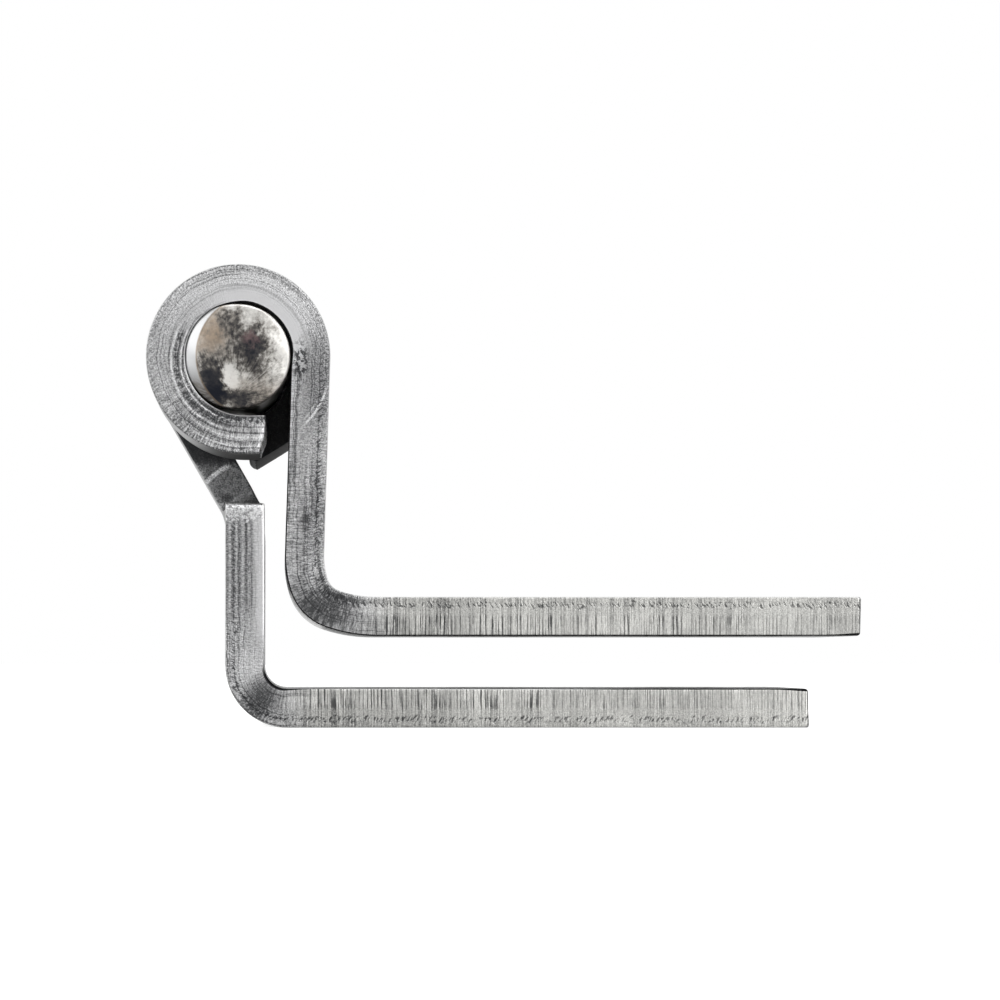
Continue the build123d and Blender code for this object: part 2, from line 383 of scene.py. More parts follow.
class LeafMesh:
    """Collects a leaf's vertices in blank coordinates (s, y, n), its faces and their markings.

    Its rolled-over and countersunk face is on the n side that the blank's side names. roll_depth
    gives that face's drop along the strip, and tail_cut how far its rolled end is cut back.
    """

    def __init__(self, blank, centreline, roll_depth, tail_cut):
        self.blank, self.centreline, self.side = blank, centreline, blank.side
        self.roll_depth, self.tail_cut = roll_depth, tail_cut
        self.wide_bends = centreline.bend(blank.s, 4.5)
        self.points, self.faces, self.kinds, self.marks = [], [], [], []

    def add(self, s, y, n):
        """Adds one vertex."""
        self.points.append((s, y, n))
        return len(self.points) - 1

    def face(self, corners, kind, marks):
        """Adds one face, with each corner's place on its surface for the materials."""
        self.faces.append(corners)
        self.kinds.append(kind)
        self.marks.extend(marks)

    def plate_height(self, side, i, j):
        """n of a flat face at a grid point: rolled over at its edge, but hardly on the back."""
        blank = self.blank
        edge = blank.edge[i, j]
        s, y = blank.s[i], blank.y[j]
        if side == self.side:
            plate_ends = [(blank.length, HALF_WIDTH), (blank.length, -HALF_WIDTH)]
            corners = [*plate_ends, (blank.notch, -HALF_WIDTH * blank.side)]
            near = min(np.hypot(s - cs, y - cy) for cs, cy in corners)
            drop = self.roll_depth(s) + CORNER_DROP * np.exp(-((near / CORNER_DROP_R) ** 2))
            drop += BEND_DROP * max(0.0, self.wide_bends[i] * side) * (s > BENDS_FROM) / BEND_FULL
            rolled = smooth((s - ROLL_FROM) / ROLL_FADE) * smooth((ROLL_TO - s) / ROLL_FADE)
            drop += ROLL_DROP * rolled
            width = DROP_WIDTH * drop
        else:
            end = np.hypot(s - blank.length, (HALF_WIDTH - abs(y)) * END_LENGTHENED)
            drop = BACK_DROP + END_DROP * np.exp(-((end / END_DROP_R) ** 2))
            width = BACK_WIDTH * drop
        if edge >= width:
            return side * HALF
        return side * (HALF - drop + drop * sqrt(1 - (1 - edge / width) ** 2))

    def build_plates(self):
        """Both flat faces, on the blank's grid."""
        blank = self.blank
        used = np.zeros(blank.ps.shape, bool)
        for i, j in zip(*np.nonzero(blank.filled)):
            used[i : i + 2, j : j + 2] = True
        self.ids = {}
        for side in (-1, 1):
            ids = np.full(blank.ps.shape, -1)
            for i, j in zip(*np.nonzero(used)):
                ids[i, j] = self.add(blank.ps[i, j], blank.py[i, j], self.plate_height(side, i, j))
            self.ids[side] = ids
            for i, j in zip(*np.nonzero(blank.filled)):
                cells = [(i, j), (i + 1, j), (i + 1, j + 1), (i, j + 1)]
                if side < 0:
                    cells.reverse()
                for part in blank.split_at_corner(cells):
                    inward = [side * self.side * (EDGE_MARK + blank.edge[c]) for c in part]
                    marks = [(blank.s[i], blank.y[j], d) for (i, j), d in zip(part, inward)]
                    self.face([ids[c] for c in part], ROLLED, marks)

    def build_walls(self):
        """The sheared faces all round the outline: burnished, then torn and slightly slanted."""
        blank = self.blank
        loop = blank.outline()
        here = np.array([(blank.ps[c], blank.py[c]) for c in loop])
        ahead, behind = np.roll(here, -1, 0), np.roll(here, 1, 0)
        along = ahead - behind
        along /= np.linalg.norm(along, axis=1)[:, None]
        outward = np.stack([along[:, 1], -along[:, 0]], -1)
        walked = np.concatenate([[0], np.cumsum(np.linalg.norm(ahead - here, axis=1))])
        start, end = self.ids[self.side], self.ids[-self.side]
        columns = []
        for ids, t in ((start, 0.0), (end, 1.0)):
            insets = [-outward[k] * self.inset(t, k) for k in range(len(loop))]
            self.draw_in(ids, t, here, insets)
        for k, cell in enumerate(loop):
            first, last = int(start[cell]), int(end[cell])
            n0, n1 = self.points[first][2], self.points[last][2]
            column = [first]
            for row in range(1, WALL_ROWS):
                t = row / WALL_ROWS
                move = np.array([self.tail_move(t, *here[k]), 0.0]) - outward[k] * self.inset(t, k)
                column.append(self.add(*(here[k] + move), n0 + (n1 - n0) * t))
            column.append(last)
            columns.append(column)
        count = len(loop)
        for k in range(count):
            left, right = columns[k], columns[(k + 1) % count]
            for row in range(WALL_ROWS):
                low, high = STRIP * row / WALL_ROWS, STRIP * (row + 1) / WALL_ROWS
                corners = [left[row], right[row], right[row + 1], left[row + 1]]
                u, v = walked[k], walked[k + 1]
                marks = [(u, low, 0.0), (v, low, 0.0), (v, high, 0.0), (u, high, 0.0)]
                if self.side > 0:
                    corners.reverse()
                    marks.reverse()
                self.face(corners, SHEARED, marks)

    def draw_in(self, ids, t, here, insets):
        """Moves a flat face's edge with its wall, and the metal beside it along with it."""
        nearest = KDTree(len(here))
        for k, spot in enumerate(here):
            nearest.insert((*spot, 0), k)
        nearest.balance()
        edge = self.blank.edge
        moving = (edge < EDGE_REACH) | (self.blank.ps < TAIL_FADE)
        for cell in zip(*np.nonzero((ids >= 0) & moving)):
            s, y, n = self.points[ids[cell]]
            _, k, _ = nearest.find((s, y, 0))
            share = 1 - smooth(edge[cell] / EDGE_REACH)
            back = self.tail_move(t, s, y)
            self.points[ids[cell]] = (s + back + insets[k][0] * share, y + insets[k][1] * share, n)

    def inset(self, t, k):
        """How far a sheared face lies inside the outline, t of the way across the thickness."""
        torn = smooth((t - 0.5) / 0.2) * smooth((1 - t) / 0.08)
        return WALL_SLOPE * (1 - t) + torn * TORN_ROUGHNESS * sin(2.3 * k) * cos(1.7 * k + 9 * t)

    def tail_move(self, t, s, y):
        """How far the rolled end's metal is cut back along the strip."""
        return self.tail_cut(t, y) * (1 - smooth(s / TAIL_FADE))

    def build_hole(self, s0, y0):
        """One countersunk hole, joined to the square patch that the grid leaves for it."""
        blank = self.blank
        i0, i1 = (int(np.argmin(abs(blank.s - s0 - d))) for d in (-HOLE_PATCH, HOLE_PATCH))
        j0, j1 = (int(np.argmin(abs(blank.y - y0 - d))) for d in (-HOLE_PATCH, HOLE_PATCH))
        rim = [(i, j0) for i in range(i0, i1)] + [(i1, j) for j in range(j0, j1)]
        rim += [(i, j1) for i in range(i1, i0, -1)] + [(i0, j) for j in range(j1, j0, -1)]
        angles = [np.arctan2(blank.y[j] - y0, blank.s[i] - s0) for i, j in rim]
        sink = HALF - (SINK_R - HOLE_R)
        path = [(SINK_R - HOLE_BREAK, HALF - 0.5 * HOLE_BREAK)]
        path += [(SINK_R + (HOLE_R - SINK_R) * f, HALF + (sink - HALF) * f) for f in SINK_STEPS]
        path += [(HOLE_R, sink - 0.08), (HOLE_R, (sink - HALF) / 2), (HOLE_R, -HALF + 0.15)]
        path += [(HOLE_R + 0.04, -HALF + 0.05)]
        rings = [self.patch_ring(rim, angles, s0, y0, SINK_R, self.side, f) for f in SUNK_RINGS]
        for radius, depth in path:
            spots = [(s0 + radius * cos(a), y0 + radius * sin(a)) for a in angles]
            rings.append([self.add(s, y, self.side * depth) for s, y in spots])
        under = HOLE_R + HOLE_BREAK
        rings += [self.patch_ring(rim, angles, s0, y0, under, -self.side, f) for f in UNDER_RINGS]
        kinds = [ROLLED] * (len(SUNK_RINGS) - 1) + [DRILLED] * (len(path) + 1)
        kinds += [ROLLED] * (len(UNDER_RINGS) - 1)
        count = len(rim)
        for kind, outer, inner in zip(kinds, rings, rings[1:]):
            for k in range(count):
                m = (k + 1) % count
                corners = [outer[k], outer[m], inner[m], inner[k]]
                if self.side < 0:
                    corners.reverse()
                if kind == ROLLED:
                    marks = [(*self.points[c][:2], PATCH_MARK) for c in corners]
                else:
                    marks = [self.drill_mark(c, s0, y0) for c in corners]
                self.face(corners, kind, marks)

    def patch_ring(self, rim, angles, s0, y0, radius, side, part):
        """A ring between the square patch's rim (part 0) and the hole's circle (part 1)."""
        blank = self.blank
        ring = []
        for (i, j), angle in zip(rim, angles):
            if part == 0:
                ring.append(int(self.ids[side][i, j]))
                continue
            s = blank.s[i] + (s0 + radius * cos(angle) - blank.s[i]) * part
            y = blank.y[j] + (y0 + radius * sin(angle) - blank.y[j]) * part
            ring.append(self.add(s, y, side * HALF))
        return ring

    def drill_mark(self, vertex, s0, y0):
        """Round the hole, and down it."""
        s, y, n = self.points[vertex]
        return (HOLE_R * np.arctan2(y - y0, s - s0), n + np.hypot(s - s0, y - y0), 0.0)

    def bulge(self, s, y, n):
        """Sheared faces swell on the inside of a bend and draw in on its outside."""
        squeeze = SWELLING * self.centreline.bend(s, 1.6) * n
        shift = np.sign(y) * squeeze * np.exp(-(HALF_WIDTH - abs(y)) / SWELLING_REACH)
        beside = np.exp(-abs(y - self.blank.split) / SWELLING_REACH)
        beside = np.where(s < self.blank.notch, beside, 0)
        return shift - NOTCH_SWELLING * self.blank.side * squeeze * beside

    def make_object(self, name, place, materials):
        """Bends the blank and writes the mesh."""
        s, y, n = np.array(self.points).T
        y = y + self.bulge(s, y, n)
        spots, headings = place(s, y)
        x = spots[:, 0] - np.sin(headings) * n
        z = spots[:, 1] + np.cos(headings) * n
        rest = np.stack([x, y, z], -1)
        curve = self.centreline.bend(s, 2.2)
        piece = add_piece(name, in_scene(rest), self.faces, materials)
        piece.data.polygons.foreach_set("material_index", self.kinds)
        add_attribute(piece, "strip_place", "CORNER", self.marks)
        add_attribute(piece, "strip_bend", "POINT", np.stack([curve, curve * n, s], -1))
        add_attribute(piece, "rest_place", "POINT", rest)
        return piece


def in_scene(points):
    """Points from the pin's centre in millimetres, as the scene's metres."""
    return (np.array(points) + np.array(PIN_AXIS)) * MM


def add_piece(name, coords, faces, materials):
    """A smooth mesh object from its points in metres."""
    mesh = bpy.data.meshes.new(name)
    mesh.from_pydata(np.array(coords).tolist(), [], faces)
    mesh.polygons.foreach_set("use_smooth", [True] * len(faces))
    for material in materials:
        mesh.materials.append(material)
    piece = bpy.data.objects.new(name, mesh)
    bpy.context.scene.collection.objects.link(piece)
    return piece


def add_attribute(piece, name, domain, vectors):
    """Writes a vector for each point or corner, for the materials to read."""
    attribute = piece.data.attributes.new(name, "FLOAT_VECTOR", domain)
    attribute.data.foreach_set("vector", np.array(vectors, np.float32).ravel())


def hole_places(mount_name, centreline):
    """Where a plate's screw holes lie in its blank."""
    mount = HOLES[mount_name]
    centre = Vector(mount["pos_m"]) / MM - PIN_AXIS
    dx, dy = mount["dims"]["spacing_x_mm"] / 2, mount["dims"]["spacing_y_mm"] / 2
    reach = centreline.at(np.array([centreline.length]))[0][0][0]
    return [(centreline.length - (reach - centre.x - x), y) for x in (-dx, dx) for y in (-dy, dy)]


def upper_tail_cut(t, y):
    """The front knuckle's free end: square for half the thickness, then torn back, with a burr."""
    return 0.52 * smooth((t - 0.42) / 0.6) + 0.05 * sin(5 * t + 0.8 * y) * smooth(t * 3)


def lower_tail_cut(t, y):
    """The rear knuckle's free end: slanted back towards the pin, with its outer corner rounded."""
    return 1.25 * (1 - t) + 0.5 * max(0.0, (t - 0.72) / 0.28) ** 2.5 + 0.03 * sin(4 * t + 0.7 * y)


def lower_drop(s):
    """The lower leaf's rolled-over depth, a little more towards its plate's end."""
    return 0.03 + 0.05 * smooth((s - 60.0) / 15.0)


def cut_leaf(line, notch, side, mount_name, roll_depth, tail_cut):
    """One leaf's blank, sheared and drilled, with its knuckle on one side of the split."""
    holes = hole_places(mount_name, line)
    blank = Blank(line.length, notch, SPLIT_Y + side * SPLIT_PLAY, side, holes)
    leaf = LeafMesh(blank, line, roll_depth, tail_cut)
    leaf.build_plates()
    leaf.build_walls()
    for s, y in holes:
        leaf.build_hole(s, y)
    return leaf


def make_upper_leaf(materials):
    """The leaf with the front knuckle and the upper plate."""
    line = upper_centreline()
    notch = line.length_at(lambda p: (p[:, 1] > NOTCH_Z))
    leaf = cut_leaf(line, notch, -1, "upper_screw_holes", lambda s: UPPER_DROP, upper_tail_cut)
    return leaf.make_object("upper_leaf_steel", lambda s, y: line.at(s), materials)


def make_lower_leaf(materials):
    """The leaf with the rear knuckle and the lower plate."""
    bent, straight = lower_centrelines()
    notch = straight.length_at(lambda p: (p[:, 1] > NOTCH_Z))
    leaf = cut_leaf(bent, notch, 1, "lower_screw_holes", lower_drop, lower_tail_cut)

    def place(s, y):
        """The tab stays upright, and the strip beside it slants to the knuckle."""
        slanted, slanted_heading = bent.at(s)
        upright, upright_heading = straight.at(s)
        share = smooth((y - leaf.blank.split + 3.0) / 3.2)
        share = np.maximum(share, smooth((notch - s - 1.0) / 4.0))
        spots = upright + (slanted - upright) * share[:, None]
        return spots, upright_heading + (slanted_heading - upright_heading) * share

    return leaf.make_object("lower_leaf_steel", place, materials)


# ---------------------------------------------------------------- pin

RIM_R = 0.20
FLARE = 0.14
BEVEL_X = 1.5
BEVEL_R = 4.72
BEVEL_SLOPE = 0.30
CREST = 0.74
SHOULDER = 1.55
PIN_TURNS = 256
PIN_END_RINGS = 84
PIN_SHAFT_RINGS = 50


def pin_end_height(x, z):
    """How far the pin's end stands out at a place: a crown, a skewed bevel and a rounded rim."""
    reach = np.hypot(x, z)
    crown = CREST - 0.038 * ((x - 0.25) ** 2 + (z + 0.1) ** 2)
    waves = 0.018 * np.sin(1.7 * x + 0.6) * np.cos(1.3 * z - 0.4)
    crown += waves + 0.010 * np.sin(3.1 * z + 1.9 * x)
    past = np.hypot(x - BEVEL_X, z) - BEVEL_R
    past = (past + np.hypot(past, 0.05)) / 2
    rim = np.clip(1 - (PIN_R - reach) / RIM_R, 0, 1)
    return crown - BEVEL_SLOPE * past - RIM_R * (1 - np.sqrt(np.maximum(1 - rim * rim, 0)))


def make_pin(materials):
    """The round pin, with both ends crowned and bevelled."""
    shoulder = PIN_HI.y - SHOULDER
    top = shoulder + 0.78
    angles = np.linspace(0, 2 * pi, PIN_TURNS, endpoint=False)
    reaches = PIN_R * np.sin(np.linspace(0, pi / 2, PIN_END_RINGS + 1)[1:])
    stations = [(-1, reach, None) for reach in reaches]
    shaft = np.linspace(0.8 - shoulder, shoulder - 0.8, PIN_SHAFT_RINGS)
    stations += [(0, PIN_R, y) for y in shaft]
    stations += [(1, reach, None) for reach in reaches[::-1]]
    rims, points, faces = [], [], []
    for end, reach, y in stations:
        x, z = reach * np.cos(angles), reach * np.sin(angles)
        if end:
            out = end * (top + pin_end_height(x * -end, z))
            one_side = smooth((x * end / reach + 0.1) / 0.7)
            flare = 1 + FLARE / PIN_R * smooth((reach - 2.8) / 1.1) * one_side
            x, z = x * flare, z * flare
        else:
            out = np.full(PIN_TURNS, y)
        rims.append(len(points))
        points += zip(x, out, z)
    tips = [len(points), len(points) + 1]
    tip = top + float(pin_end_height(np.array(0.0), np.array(0.0)))
    points += [(0, -tip, 0), (0, tip, 0)]
    for k in range(PIN_TURNS):
        m = (k + 1) % PIN_TURNS
        faces.append([tips[0], rims[0] + k, rims[0] + m])
        faces.append([tips[1], rims[-1] + m, rims[-1] + k])
        for low, high in zip(rims, rims[1:]):
            faces.append([low + k, high + k, high + m, low + m])
    piece = add_piece("hinge_pin_steel", in_scene(points), faces, materials)
    add_attribute(piece, "pin_place", "POINT", points)
    return piece


# ---------------------------------------------------------------- nodes

class Value:
    """A number from a node, which adds, subtracts and multiplies as plain numbers do."""

    def __init__(self, nodes, socket):
        self.nodes, self.socket = nodes, socket

    def __add__(self, other):
        return self.nodes.math("ADD", self, other)

    def __sub__(self, other):
        return self.nodes.math("SUBTRACT", self, other)

    def __rsub__(self, other):
        return self.nodes.math("SUBTRACT", other, self)

    def __mul__(self, other):
        return self.nodes.math("MULTIPLY", self, other)

    __radd__, __rmul__ = __add__, __mul__


class Nodes:
    """Short names for building a node tree."""

    def __init__(self, tree):
        self.tree = tree
        tree.nodes.clear()

    def link(self, source, socket):
        """Joins a value or a socket to an input."""
        if isinstance(source, Value):
            source = source.socket
        if isinstance(source, bpy.types.NodeSocket):
            self.tree.links.new(source, socket)
        else:
            socket.default_value = source

    def node(self, kind, inputs, output=0, **settings):
        """Adds a node, joins up its inputs and gives one of its outputs."""
        node = self.tree.nodes.new(kind)
        for name, setting in settings.items():
            setattr(node, name, setting)
        for name, source in inputs.items():
            self.link(source, node.inputs[name])
        return node.outputs[output]

    def attribute(self, name):
        """A mesh attribute's vector."""
        return self.node("ShaderNodeAttribute", {}, "Vector", attribute_name=name)

    def split(self, vector):
        """The three numbers of a vector."""
        node = self.tree.nodes.new("ShaderNodeSeparateXYZ")
        self.link(vector, node.inputs[0])
        return [Value(self, socket) for socket in node.outputs]

    def vector(self, x, y, z):
        """A vector from three numbers."""
        return self.node("ShaderNodeCombineXYZ", {0: x, 1: y, 2: z})

    def math(self, operation, *numbers):
        """One Math node."""
        inputs = dict(enumerate(numbers))
        return Value(self, self.node("ShaderNodeMath", inputs, operation=operation))

    def highest(self, a, b):
        """The larger of two numbers."""
        return self.math("MAXIMUM", a, b)

    def reach(self, x, z):
        """How far a place in a plane is from its origin."""
        return self.math("SQRT", x * x + z * z)

    def scaled(self, vector, scales):
        """A vector with its axes scaled."""
        return self.node("ShaderNodeVectorMath", {0: vector, 1: scales}, operation="MULTIPLY")

    def moved(self, vector, offset):
        """A vector moved by another."""
        return self.node("ShaderNodeVectorMath", {0: vector, 1: offset}, operation="ADD")

    def spread(self, value, low, high, to_low=0.0, to_high=1.0):
        """A value's range mapped to another, smoothly and held at its ends."""
        limits = {"From Min": low, "From Max": high, "To Min": to_low, "To Max": to_high}
        inputs = {"Value": value, **limits}
        return Value(self, self.node("ShaderNodeMapRange", inputs, interpolation_type="SMOOTHSTEP"))

    def fall(self, value, low, high):
        """1 below low and 0 above high."""
        return self.spread(value, low, high, 1.0, 0.0)

    def within(self, value, outer_low, low, high, outer_high):
        """1 between low and high, fading to 0 at the outer limits."""
        return self.spread(value, outer_low, low) * self.fall(value, high, outer_high)

    def band(self, value, middle, width):
        """1 where a value is about middle, fading to 0 at width from it."""
        return self.fall(self.math("ABSOLUTE", value - middle), width * 0.3, width)

    def towards(self, value, goal, share):
        """A value moved a share of the way to a goal."""
        return value + (goal - value) * share

    def noise(self, vector, scales, detail, rough):
        """Noise from 0 to 1, at a number of waves to the millimetre on each axis."""
        inputs = {"Vector": self.scaled(vector, scales), "Scale": 1.0}
        inputs |= {"Detail": detail, "Roughness": rough}
        return Value(self, self.node("ShaderNodeTexNoise", inputs))

    def grain(self, vector, scales, detail, rough, low, high, to_low=-0.5, to_high=0.5):
        """Noise with its part from low to high spread over another range."""
        return self.spread(self.noise(vector, scales, detail, rough), low, high, to_low, to_high)

    def mix(self, share, a, b):
        """A colour between two others."""
        a, b = ((*colour, 1) if isinstance(colour, tuple) else colour for colour in (a, b))
        return self.node("ShaderNodeMix", {0: share, 6: a, 7: b}, 2, data_type="RGBA")

    def blob(self, vector, centre, radii):
        """1 at a place in a vector's space, fading smoothly to 0 on an ellipsoid round it."""
        offset = self.moved(vector, tuple(-c for c in centre))
        offset = self.scaled(offset, tuple(1 / r for r in radii))
        distance = self.node("ShaderNodeVectorMath", {0: offset}, "Value", operation="LENGTH")
        return self.fall(distance, 0.15, 1.0)

    def tone_and_shade_patches(self, tone, rest, rows):
        """A tone with soft patches on a leaf's front edge, uneven tone and painted shade: the x, z,
        radii and change of each.
        """
        for x, z, wide, high, change in rows:
            tone += self.blob(rest, (x, -25, z), (wide, 9, high)) * change
        return tone

    def arc(self, rest, centre, radius, width, start, end):
        """1 along an arc in the XZ plane, between two angles in radians."""
        x, _, z = self.split(rest)
        x, z = x - centre[0], z - centre[1]
        angle = self.math("ARCTAN2", z, x)
        inside = self.within(angle, start, start + ARC_FADE, end - ARC_FADE, end)
        return self.band(self.reach(x, z), radius, width) * inside

    def bump(self, height, distance):
        """A bumped normal, with the height in millimetres times distance."""
        inputs = {"Strength": 1.0, "Distance": distance * MM, "Height": height}
        return self.node("ShaderNodeBump", inputs)


ARC_FADE = 0.1


class Surface(Nodes):
    """One material's nodes, round a Principled shader."""

    def __init__(self, name):
        self.material = bpy.data.materials.new(name)
        self.material.use_nodes = True
        super().__init__(self.material.node_tree)
        self.output = self.tree.nodes.new("ShaderNodeOutputMaterial")
        self.shader = self.tree.nodes.new("ShaderNodeBsdfPrincipled")
        self.link(self.shader.outputs[0], self.output.inputs["Surface"])

    def finish(self, colour, roughness, normal, metallic=1.0):
        """Joins up the shader."""
        inputs = {"Base Color": colour, "Roughness": roughness, "Normal": normal}
        inputs["Metallic"] = metallic
        for name, source in inputs.items():
            self.link(source, self.shader.inputs[name])
        return self.material


# ---------------------------------------------------------------- materials

DARK_STEEL = (0.040, 0.041, 0.043)
COOL_STEEL = (0.82, 0.82, 0.828)
WARM_STEEL = (0.87, 0.865, 0.83)
# painted shade for the rolled-over edges
ROLLED_EDGE_SHADE = (0.012, 0.012, 0.013)
# painted shade for the outside of the rolled ends
ROLLED_END_SHADE = (0.020, 0.020, 0.019)
ROLL_TOP = (27.0, 33.0)
GROOVES = (
    # distance from the pin's axis, width, change of tone
    (4.30, 0.12, -0.55), (4.46, 0.09, 0.30), (4.82, 0.36, -0.46), (5.15, 0.12, 0.34),
    (5.36, 0.10, -0.22),
)
TAIL_ARCS = (
    # depth, width, change of tone
    (1.35, 0.12, -0.22), (1.72, 0.12, 0.22), (2.10, 0.14, -0.20), (2.42, 0.12, 0.22),
)
SCRATCHES = (
    # centre, radius, width, first and last angle, change of tone
    ((1.2, -1.0), 5.75, 0.13, -0.86, -0.20, 0.45),
    ((1.1, -1.1), 5.45, 0.08, -0.80, -0.45, 0.25),
    ((-40.0, -9.6), 45.40, 0.06, -0.085, 0.055, 0.26),
    ((-40.0, -8.6), 45.65, 0.05, -0.09, 0.03, 0.18),
)
UPPER_TONE_AND_SHADE = (
    # x, z, radii, change of tone; the first two rows are painted shade at the bend into the plate
    (7.0, -19.5, 3.4, 2.4, -0.52),
    (5.0, -19.0, 2.2, 3.0, -0.20),
    (6.3, -15.8, 1.5, 1.8, 0.14),
    (5.2, -12.6, 0.6, 1.2, -0.30),
    (5.9, -9.5, 0.6, 5.0, -0.14),
    (12.0, -21.0, 5.0, 1.3, -0.14),
    (10.5, -19.4, 3.5, 0.9, 0.14),
    (-4.4, -4.6, 2.6, 2.2, -0.10),
    (6.2, -1.5, 2.2, 6.0, -0.34),
    (5.8, -13.5, 2.0, 5.0, -0.16),
    (1.9, -6.2, 0.7, 1.9, 0.34),
    (-1.4, -5.2, 3.2, 2.0, -0.16),
)
LOWER_TONE_AND_SHADE = (
    # x, z, radii, change of tone; the first two rows are painted shade at the bend into the plate
    (1.8, -26.2, 1.9, 2.2, -0.46),
    (0.6, -27.2, 2.4, 1.8, -0.24),
    (0.8, -23.8, 1.8, 2.0, 0.20),
    (9.0, -27.0, 10.0, 4.0, -0.10),
    (5.0, -26.4, 2.6, 0.9, 0.14),
)
PIN_TARNISH_AND_REFLECTIONS = (
    # across, up, radii, strength; dark tarnish with painted reflections in it, and the rows of
    # negative strength are painted highlights
    (0.5, 0.2, 2.3, 2.6, 0.95),
    (-2.2, -1.8, 2.2, 2.7, 1.15),
    (-0.9, -3.3, 2.4, 1.5, 0.75),
    (1.1, -3.5, 2.4, 1.6, 0.60),
    (1.7, 1.6, 1.7, 1.8, 0.55),
    (-0.5, 2.8, 1.5, 1.8, 0.75),
    (2.0, -1.0, 1.6, 2.2, 0.50),
    (-2.0, 1.2, 2.0, 3.0, 0.22),
    (-0.6, -1.6, 0.95, 1.7, -1.15),
    (1.85, -0.45, 0.5, 0.8, -0.40),
)


def sheared_steel(name, plate_from, plate_end, marks):
    """The strip's cut edges: burnished and streaked on the rolled-over side, torn beyond.

    The plate runs from plate_from to plate_end in x, and marks adds one leaf's own wear, painted
    shade and painted highlights to the tone.
    """
    n = Surface(name)
    place, rest = n.attribute("strip_place"), n.attribute("rest_place")
    _, depth, _ = n.split(place)
    x, _, _ = n.split(rest)
    _, _, s = n.split(n.attribute("strip_bend"))
    plate = n.spread(x, plate_from, plate_from + 5.0)
    roll = n.fall(s, *ROLL_TOP)
    body = 1.0 - plate
    torn = n.spread(depth, 1.25, 1.75)
    lip = n.spread(depth, 2.46, 2.60)
    ripple = n.noise(place, (0.7, 0.4, 1), 2, 0.6)
    waved = n.moved(place, n.vector(0.0, ripple * 0.45, 0.0))
    far = n.spread(x, plate_from + 5.0, plate_from + 36.0)

    # long scores across the plates, and short ones everywhere
    streaks = n.grain(place, (6.4, 0.13, 1), 2, 0.65, 0.40, 0.56, -0.72, 0.28)
    groups = n.grain(place, (0.5, 0.2, 1), 2, 0.6, 0.35, 0.65, 0.55, 1.4)
    strokes = n.grain(place, (9.0, 2.4, 1), 2, 0.65, 0.34, 0.66)
    speckle = n.grain(place, (9.0, 8.0, 1), 2, 0.7, 0.34, 0.66)
    # thin dark lines along the strip, and broad clouds
    lines = n.grain(waved, (0.07, 5.2, 1), 2, 0.7, 0.37, 0.50, -0.85, 0.15)
    cloud = n.grain(rest, (0.16, 0.16, 0.16), 3, 0.5, 0.35, 0.65)

    share = (0.60 - n.highest(torn, lip) * 0.36) * (plate * 0.90 + 0.10) * groups
    tone = streaks * (share * (1.25 - far * 0.55)) + 0.70
    tone += strokes * (body * 0.14 + lip * 0.12 + 0.16) * (roll * (lip * 0.3 - 0.35) + 1.0)
    tone += speckle * (torn * 0.16 + body * 0.18 + 0.08)
    tone += lines * (body * 0.32 + 0.03)
    tone += cloud * 0.10 + torn * plate * 0.05 + far * 0.10 - lip * 0.04 - body * 0.05
    tone -= n.spread(depth, 2.86, 2.98) * roll * 0.22

    # comma-shaped tears in a row
    slanted = n.moved(place, n.vector(depth * 0.5, 0.0, 0.0))
    pits = n.grain(slanted, (5.2, 1.6, 1), 2, 0.6, 0.47, 0.60, 0.0, 1.0)
    level = n.math("ABSOLUTE", ripple * 0.9 + (depth - 2.83))
    pits = n.fall(level, 0.10, 0.30) * pits * (1.0 - roll * 0.8)
    tone -= pits * 0.55
    # painted shade on the plate's rounded end corner
    tone -= n.spread(x, plate_end - 0.22, plate_end - 0.10) * 0.35
    tone = marks(n, tone, roll)

    floor = n.highest(tone * 0.35 + 0.13, 0.0)
    shade = n.highest(tone, floor) * 0.98
    colour = n.mix(n.math("POWER", shade, 1.5), DARK_STEEL, n.mix(plate, COOL_STEEL, WARM_STEEL))
    return n.finish(colour, n.spread(tone, 0.2, 0.9, 0.50, 0.38), n.bump(tone - pits * 0.5, 0.018))


